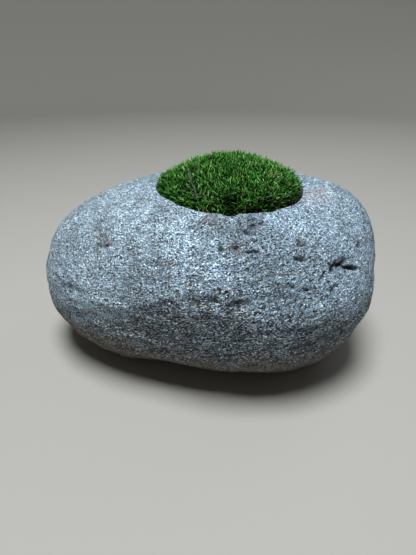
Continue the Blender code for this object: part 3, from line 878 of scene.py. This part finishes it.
def joined(name, parts):
    """One mesh of many, with each point's tone, place along its leaf, depth in the cushion and hue."""
    points, triangles, values = [], [], []
    start = 0
    for own_points, faces, tone, along, depth, hue in parts:
        count, each = own_points.shape[:2]
        offsets = start + (np.arange(count) * each)[:, None, None]
        points.append(own_points.reshape(-1, 3))
        triangles.append((faces[None] + offsets).reshape(-1, 3))
        tones, depths, hues = (np.repeat(value, each) for value in (tone, depth, hue))
        values.append((tones, np.tile(along, count), depths, hues))
        start += count * each
    mesh = bpy.data.meshes.new(name)
    mesh.from_pydata(np.concatenate(points), [], np.concatenate(triangles))
    mesh.shade_smooth()
    for attribute, value in zip(("tone", "along", "depth", "hue"), zip(*values)):
        set_attribute(mesh, attribute, np.concatenate(value))
    return add_object(name, mesh)


def make_moss():
    parts = make_moss_shoots()
    rim_height = rim_heights()
    quarters = {
        "moss_front_left": (-1, -1),
        "moss_front_right": (1, -1),
        "moss_back_left": (-1, 1),
        "moss_back_right": (1, 1),
    }
    made = []
    for name, (side_x, side_y) in quarters.items():
        own_parts = []
        for points, faces, tone, along, depth, hue in parts:
            foot = points[:, 0]
            own = (foot[:, 0] * side_x > 0) & (foot[:, 1] * side_y > 0)
            placed = keep_inside(points[own].copy(), rim_height) + (CENTRE[0], CENTRE[1], 0)
            own_parts.append((placed, faces, tone[own], along, depth[own], hue[own]))
        made.append(joined(name, own_parts))
    return made


def make_twig():
    """A thin dry twig with swollen buds and a broken tip, lying down the front left of the moss."""
    curve = bpy.data.curves.new("dry_twig", "CURVE")
    curve.dimensions = "3D"
    curve.bevel_depth = TWIG_RADIUS
    curve.bevel_resolution = 3
    curve.use_fill_caps = True
    spline = curve.splines.new("POLY")
    spline.points.add(TWIG_STATIONS - 1)
    plan = np.array(TWIG_PLAN)
    for index, point in enumerate(spline.points):
        share = index / (TWIG_STATIONS - 1)
        x = np.interp(share, (0, 0.5, 1), plan[:, 0]) + TWIG_WAVE * math.sin(9 * share)
        y = np.interp(share, (0, 0.5, 1), plan[:, 1])
        z = moss_height(np.array([x]), np.array([y]))[0] + TWIG_RADIUS + TWIG_LIFT
        point.co = (x + CENTRE[0], y + CENTRE[1], z, 1)
        buds = sum(math.exp(-(((share - place) / TWIG_BUD_REACH) ** 2)) for place in TWIG_BUDS)
        point.radius = (0.7 + 0.4 * share + 0.35 * buds) * (1 + 0.1 * math.sin(40 * share))
    obj = add_object("dry_twig", curve)
    mesh = bpy.data.meshes.new_from_object(obj.evaluated_get(bpy.context.evaluated_depsgraph_get()))
    bpy.data.objects.remove(obj)
    mesh.name = "dry_twig"
    return add_object("dry_twig", mesh)


# ----------------------------------------
# Materials.


class Shader:
    """A material's node tree, with short calls for the nodes that it needs."""

    def __init__(self, name):
        self.material = bpy.data.materials.new(name)
        self.material.use_nodes = True
        self.tree = self.material.node_tree
        self.principled = self.tree.nodes["Principled BSDF"]
        self.place = self.node("ShaderNodeTexCoord").outputs["Object"]

    def node(self, kind, inputs=None, **settings):
        made = self.tree.nodes.new(kind)
        for name, value in settings.items():
            setattr(made, name, value)
        for name, value in (inputs or {}).items():
            self.put(made.inputs[name], value)
        return made

    def put(self, socket, value):
        """Links value if it is a socket, and sets it if it is a number, a place or a colour."""
        if isinstance(value, bpy.types.NodeSocket):
            self.tree.links.new(value, socket)
        else:
            socket.default_value = (*value, 1) if socket.type == "RGBA" else value

    def noise(self, length, detail=3, roughness=0.55, place=None):
        inputs = {"Vector": place or self.place, "Scale": 1 / length}
        inputs |= {"Detail": detail, "Roughness": roughness}
        return self.node("ShaderNodeTexNoise", inputs).outputs[0]

    def cells(self, size, output="Color", place=None):
        inputs = {"Vector": place or self.place, "Scale": 1 / size}
        return self.node("ShaderNodeTexVoronoi", inputs).outputs[output]

    def red(self, colour):
        return self.node("ShaderNodeSeparateColor", {0: colour}).outputs[0]

    def math(self, operation, first, second):
        return self.node("ShaderNodeMath", {0: first, 1: second}, operation=operation).outputs[0]

    def product(self, first, second):
        return self.math("MULTIPLY", first, second)

    def total(self, *terms):
        """The sum of values, each times its share."""
        total, *others = (self.product(value, share) for value, share in terms)
        for other in others:
            total = self.math("ADD", total, other)
        return total

    def spread(self, value, low, high, to_low=0.0, to_high=1.0):
        """value mapped smoothly from low..high to to_low..to_high."""
        inputs = {"Value": value, 1: low, 2: high, 3: to_low, 4: to_high}
        return self.node("ShaderNodeMapRange", inputs, interpolation_type="SMOOTHSTEP").outputs[0]

    def mix(self, share, first, second, how="MIX"):
        made = self.node("ShaderNodeMix", {0: share, 6: first, 7: second}, data_type="RGBA", blend_type=how)
        return made.outputs[2]

    def painted(self, colour, where, share, paint):
        """colour with paint over it, at this share of where."""
        return self.mix(self.product(where, share), colour, paint)

    def tinted(self, colour, tint):
        return self.mix(1.0, colour, tint, "MULTIPLY")

    def toned(self, colour, value, stops, smooth=True):
        """colour times the ramp's colour at value."""
        return self.tinted(colour, self.ramp(value, stops, smooth))

    def ramp(self, value, stops, smooth=True):
        made = self.node("ShaderNodeValToRGB", {0: value})
        made.color_ramp.interpolation = "EASE" if smooth else "LINEAR"
        elements = made.color_ramp.elements
        while len(elements) < len(stops):
            elements.new(0.5)
        for element, (place, colour) in zip(elements, stops):
            element.position = place
            element.color = (*colour, 1)
        return made.outputs[0]

    def near(self, centre, radius, ragged=0.4):
        """1 within about radius of a point, falling to 0 with a ragged edge."""
        places = {0: self.place, 1: centre}
        away = self.node("ShaderNodeVectorMath", places, operation="DISTANCE").outputs[1]
        rough = self.product(self.noise(0.006), ragged * radius)
        return self.spread(self.math("SUBTRACT", away, rough), radius, 0.3 * radius)

    def coordinate(self, index):
        return self.node("ShaderNodeSeparateXYZ", {0: self.place}).outputs[index]

    def attribute(self, name):
        return self.node("ShaderNodeAttribute", attribute_name=name).outputs["Fac"]

    def bump(self, height, distance):
        return self.node("ShaderNodeBump", {"Height": height, "Distance": distance}).outputs[0]

    def finished(self, colour, roughness, specular=0.5, normal=None):
        """The material, with these on its surface."""
        values = {"Base Color": colour, "Roughness": roughness, "Specular IOR Level": specular}
        if normal:
            values["Normal"] = normal
        for name, value in values.items():
            self.put(self.principled.inputs[name], value)
        return self.material


def speck_place():
    outward = unit(*MOSS_SPECK)[None]
    return tuple(rock_points(outward)[0] + CENTRE)


def bed_place(s, flatness):
    """The place in the stone, turned level with its fine bedding and stretched across it."""
    dip = math.radians(BED_DIP)
    turned = s.node("ShaderNodeMapping", {0: s.place, "Rotation": (0, dip, 0)}).outputs[0]
    return s.node("ShaderNodeMapping", {0: turned, "Scale": (1, 1, flatness)}).outputs[0]


# Ramps: places along a value, and colours there. Most multiply the stone's colour: PLAIN leaves it as it is.
PLAIN = (1.0, 1.0, 1.0)
UPPER_GRAINS = (
    (0.00, (0.026, 0.026, 0.028)),
    (0.16, (0.082, 0.100, 0.117)),
    (0.32, (0.178, 0.243, 0.300)),
    (0.60, (0.298, 0.416, 0.520)),
    (0.82, (0.433, 0.588, 0.718)),
    (1.00, (0.835, 0.975, 1.000)),
)
# The coarse, split grains under that line, darker than the upper ones: painted shade.
LOWER_GRAINS = (
    (0.00, (0.008, 0.008, 0.009)),
    (0.28, (0.040, 0.045, 0.050)),
    (0.48, (0.121, 0.164, 0.205)),
    (0.70, (0.286, 0.392, 0.492)),
    (0.86, (0.545, 0.710, 0.855)),
    (1.00, (0.900, 1.000, 1.000)),
)
SPECKLE = ((0.0, (0.32, 0.32, 0.32)), (0.5, PLAIN), (1.0, (1.70, 1.71, 1.73)))
# A warmer, darker tint deep under the line: part of the painted shade.
UNDERSIDE_SHADE_TINT = ((0.35, PLAIN), (0.95, (0.97, 0.93, 0.88)))
RUST = ((0.36, (1.09, 0.98, 0.88)), (0.50, PLAIN), (0.64, (0.93, 1.0, 1.10)))
STREAKS = ((0.34, (0.66, 0.655, 0.65)), (0.50, PLAIN), (0.66, (1.23, 1.24, 1.25)))
SPLITS = ((0.36, (0.52, 0.51, 0.50)), (0.50, PLAIN), (0.66, (1.26, 1.28, 1.30)))
LARGE_PATCHES = ((0.32, (0.84, 0.83, 0.83)), (0.50, PLAIN), (0.68, (1.12, 1.13, 1.14)))
SMALL_PATCHES = ((0.32, (0.78, 0.77, 0.76)), (0.50, PLAIN), (0.70, (1.20, 1.22, 1.23)))
COOLER = ((0.0, (1.015, 1.0, 0.985)), (1.0, (0.970, 1.0, 1.025)))
STAINED = ((0.0, (0.5, 0.5, 0.5)), (1.0, (1.5, 1.52, 1.54)))

BROWN_TINT = (0.92, 0.66, 0.50)
PINK_TINT = (1.20, 0.80, 0.72)
PINK = (0.46, 0.36, 0.35)
# Painted shade at the foot, darker and browner, partly a damp stain.
FOOT_SHADE_AND_STAIN = (0.176, 0.132, 0.082)
FOOT_SHADE_RAGGED = 0.020  # length and height of its uneven edge
# Painted shade inside the pores.
PORE_SHADE = (0.022, 0.020, 0.019)
PORE_SIZE = 0.0017
# Painted shade in the pits.
PIT_SHADE_COLOUR = (0.028, 0.025, 0.023)
SPECK = (0.004, 0.022, 0.005)
SPECK_RADIUS = 0.0014
SPOT_SIZE = 0.0016  # of the spots of the underside's darker, coarse grains above its line
STONE_BUMP = 0.0008


def stone_grains(s, size, flatness, stops):
    """The colour of packed grains, a height that follows them, and the finer grains among them."""
    beds = bed_place(s, flatness)
    grain = s.red(s.cells(size, place=beds))
    fine = s.red(s.cells(0.66 * size, place=beds))
    colour = s.toned(s.ramp(grain, stops, smooth=False), fine, SPECKLE, smooth=False)
    return colour, s.total((grain, 1.0), (fine, 0.5)), fine


def stone_ground(s):
    """The grains above and under the line below which the stone is painted darker as shade, in the same way.
    """
    upper, upper_height, fine = stone_grains(s, GRAIN, GRAIN_FLATNESS, UPPER_GRAINS)
    lower, lower_height, _ = stone_grains(s, LOW_GRAIN, LOW_GRAIN_FLATNESS, LOWER_GRAINS)
    under = s.attribute("under")
    lower = s.toned(lower, under, UNDERSIDE_SHADE_TINT)
    lower = s.toned(lower, s.noise(0.0036, 4, 0.7, place=bed_place(s, 2.5)), RUST)
    chance = s.red(s.cells(SPOT_SIZE, place=bed_place(s, LOW_GRAIN_FLATNESS)))
    under = s.spread(s.math("SUBTRACT", under, chance), -0.04, 0.04)
    step = s.product(s.math("SUBTRACT", lower_height, upper_height), under)
    return s.mix(under, upper, lower), s.math("ADD", upper_height, step), fine


def stained_and_shaded(s, colour):
    """colour with the pale, dull, brown and pink places, one place painted darker as shade, and the darker,
    browner foot: painted shade, partly a damp stain.
    """
    colour = s.toned(colour, s.math("ADD", s.attribute("light"), 0.5), STAINED, smooth=False)
    brown = s.product(s.attribute("brown"), s.spread(s.noise(0.0030, 4, 0.7), 0.38, 0.62))
    colour = s.painted(colour, brown, 0.8, s.tinted(colour, BROWN_TINT))
    pink = s.product(s.attribute("pink"), s.spread(s.noise(0.0022, 3, 0.6), 0.30, 0.60))
    colour = s.painted(colour, pink, 0.60, s.mix(0.55, s.tinted(colour, PINK_TINT), PINK))
    # The foot is painted darker and browner: painted shade, partly a damp stain.
    uneven = s.product(s.math("SUBTRACT", s.noise(FOOT_SHADE_RAGGED, 4), 0.5), FOOT_SHADE_RAGGED)
    height = s.math("ADD", s.coordinate(2), uneven)
    return s.painted(colour, s.spread(height, FOOT_SHADE_HEIGHTS[1], FOOT_SHADE_HEIGHTS[0]), 0.84, FOOT_SHADE_AND_STAIN)


def stone_pores(s, beds):
    """1 in pores: small flat cells in drifts, sunk into the stone and painted dark as the shade in them."""
    pore = s.spread(s.cells(PORE_SIZE, "Distance", place=beds), 0.34, 0.20)
    drifts = s.spread(s.noise(0.0090, 4, 0.7), 0.36, 0.54)
    few = s.spread(s.red(s.cells(PORE_SIZE, place=beds)), 0.40, 0.52)
    return s.product(s.product(pore, few), drifts)


def stone_material():
    s = Shader("stone")
    colour, grain, fine = stone_ground(s)
    beds = bed_place(s, 1.6)
    streak = s.noise(0.0034, 4, 0.66, place=beds)
    colour = s.toned(colour, streak, STREAKS)
    split = s.noise(0.0060, 4, 0.62, place=bed_place(s, 4.5))
    colour = s.mix(s.attribute("under"), colour, s.toned(colour, split, SPLITS))
    colour = s.toned(colour, s.noise(0.026, 5, 0.62), LARGE_PATCHES)
    colour = s.toned(colour, s.noise(0.0075, 4, 0.65), SMALL_PATCHES)
    colour = s.toned(colour, s.spread(s.coordinate(0), *COOLER_END), COOLER)
    colour = stained_and_shaded(s, colour)
    pore = stone_pores(s, beds)
    # Painted shade in the pores.
    colour = s.painted(colour, pore, 0.85, PORE_SHADE)
    # Painted shade in the pits.
    colour = s.painted(colour, s.attribute("pit_shade"), 0.78, PIT_SHADE_COLOUR)
    colour = s.painted(colour, s.near(speck_place(), SPECK_RADIUS, 0.5), 0.95, SPECK)
    height = s.total((streak, 2.4), (split, 2.0), (pore, -1.2), (grain, 0.50))
    return s.finished(colour, s.spread(fine, 0, 1, 0.60, 0.92), 0.35, s.bump(height, STONE_BUMP))


CRUMBS = ((0.30, (0.006, 0.004, 0.003)), (0.55, (0.028, 0.017, 0.011)), (0.75, (0.075, 0.048, 0.030)))
CRUMB_BUMP = 0.0008


def soil_material():
    s = Shader("soil")
    crumb = s.noise(0.0016, 4, 0.65)
    return s.finished(s.ramp(crumb, CRUMBS), 0.95, normal=s.bump(crumb, CRUMB_BUMP))


# Along a leaf, from its foot to its tip: darker at the foot, partly the leaf's own colour and partly painted
# shade among the leaves.
YOUNG_LEAF = ((0.0, (0.010, 0.036, 0.002)), (0.35, (0.036, 0.185, 0.012)), (1.0, (0.140, 0.470, 0.066)))
OLD_LEAF = ((0.0, (0.001, 0.008, 0.001)), (0.35, (0.002, 0.032, 0.001)), (1.0, (0.007, 0.094, 0.004)))
PALEST_LEAF_AND_HIGHLIGHT = (0.30, 0.55, 0.23)
DEEP_LEAF_SHADE = (0.002, 0.015, 0.001)
STRAW = (0.36, 0.31, 0.14)


def moss_material():
    s = Shader("moss")
    tone, along, depth, hue = (s.attribute(name) for name in ("tone", "along", "depth", "hue"))
    colour = s.mix(s.spread(tone, 0.20, 0.95), s.ramp(along, OLD_LEAF), s.ramp(along, YOUNG_LEAF))
    # The lightest leaves are pale: partly pale blades and partly painted highlights.
    colour = s.mix(s.spread(tone, 0.85, 1.15), colour, PALEST_LEAF_AND_HIGHLIGHT)
    # Painted shade: leaves deeper in the cushion are darkened.
    colour = s.mix(s.spread(depth, 0.05, 0.80), colour, DEEP_LEAF_SHADE)
    colour = s.mix(hue, colour, STRAW)
    return s.finished(colour, s.spread(tone, 0.3, 1.0, 0.62, 0.34), 0.16)


BARK = ((0.3, (0.012, 0.012, 0.014)), (0.7, (0.060, 0.058, 0.060)))
BARK_BUMP = 0.0002
BROKEN_TIP = (0.42, 0.31, 0.19)
TIP_HEIGHT = 0.1065
TIP_RADIUS = 0.0022


def twig_material():
    s = Shader("dry_wood")
    bark = s.noise(0.0009, 4, 0.7)
    tip = s.near((CENTRE[0] + TWIG_PLAN[0][0], CENTRE[1] + TWIG_PLAN[0][1], TIP_HEIGHT), TIP_RADIUS)
    colour = s.mix(tip, s.ramp(bark, BARK), BROKEN_TIP)
    return s.finished(colour, 0.8, normal=s.bump(bark, BARK_BUMP))


# ----------------------------------------
# The stage: a round pale floor that sweeps up all round, a camera and soft lights.

FLOOR_RADIUS = 1.3
FLOOR_FLAT = 0.91  # radius at which it begins to sweep up
SWEEP_HEIGHT = 0.9
FLOOR_COLOUR = (0.36, 0.35, 0.33)
LIGHTS = {  # place, diameter, power and colour
    "key": ((-0.06, -0.18, 1.0), 0.40, 14.5, (0.96, 0.985, 1.0)),
    "fill": ((0.6, 0.6, 0.7), 0.7, 1.2, (0.95, 0.98, 1.0)),
}
LIGHTS_TARGET = Vector((0, 0, 0.05))
SKY_COLOUR = (0.90, 0.95, 1.0)
SKY_STRENGTH = 0.09


def make_floor():
    profile = [(radius, 0) for radius in (0, FLOOR_RADIUS / 2, FLOOR_FLAT)]
    sweep = FLOOR_RADIUS - FLOOR_FLAT
    for turn in np.linspace(0, math.pi / 2, 12)[1:]:
        profile.append((FLOOR_FLAT + sweep * math.sin(turn), sweep * (1 - math.cos(turn))))
    profile.append((FLOOR_RADIUS, SWEEP_HEIGHT))
    bm = bmesh.new()
    corners = [bm.verts.new((radius, 0, height)) for radius, height in profile]
    edges = [bm.edges.new(pair) for pair in zip(corners, corners[1:])]
    turn = {"axis": (0, 0, 1), "cent": (0, 0, 0), "angle": 2 * math.pi, "steps": 96, "use_merge": True}
    bmesh.ops.spin(bm, geom=corners + edges, **turn)
    bmesh.ops.remove_doubles(bm, verts=bm.verts, dist=0.0001)
    mesh = bpy.data.meshes.new("floor")
    bm.to_mesh(mesh)
    bm.free()
    mesh.shade_smooth()
    mesh.materials.append(Shader("floor").finished(FLOOR_COLOUR, 0.85, 0.2))
    floor = add_object("floor", mesh)


def make_lights():
    for name, (place, diameter, power, colour) in LIGHTS.items():
        light = bpy.data.lights.new(name, "AREA")
        light.shape = "DISK"
        light.size = diameter
        light.energy = power
        light.color = colour
        obj = add_object(name, light)
        obj.location = place
        obj.rotation_euler = (LIGHTS_TARGET - obj.location).to_track_quat("-Z", "Y").to_euler()
    world = bpy.data.worlds.new("studio")
    world.use_nodes = True
    sky = world.node_tree.nodes["Background"].inputs
    sky["Color"].default_value = (*SKY_COLOUR, 1)
    sky["Strength"].default_value = SKY_STRENGTH
    bpy.context.scene.world = world


def make_camera():
    camera = bpy.data.cameras.new("camera")
    camera.sensor_width = SENSOR
    camera.lens = SENSOR * FOCAL_LENGTH_PX / FRAME_HEIGHT_PX
    camera.clip_start = 0.01
    obj = add_object("camera", camera)
    pitch = math.radians(CAMERA_PITCH)
    ahead = Vector((0, math.cos(pitch), -math.sin(pitch)))
    obj.location = Vector(CENTRE) + Vector(CAMERA_TARGET) - CAMERA_DISTANCE * ahead
    obj.rotation_euler = (math.pi / 2 - pitch, 0, 0)
    bpy.context.scene.camera = obj


def dress(obj, material, node):
    """Gives a piece its material, and its place in the part."""
    obj.data.materials.clear()
    obj.data.materials.append(material)
    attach(obj, "root")
    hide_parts(node)


dress(make_rock(), stone_material(), "rock")
dress(make_soil(), soil_material(), "soil")
moss = moss_material()
for tuft in make_moss():
    dress(tuft, moss, "moss")
dress(make_twig(), twig_material(), "twig")
make_floor()
make_lights()
make_camera()
bpy.context.scene.view_settings.view_transform = "Standard"
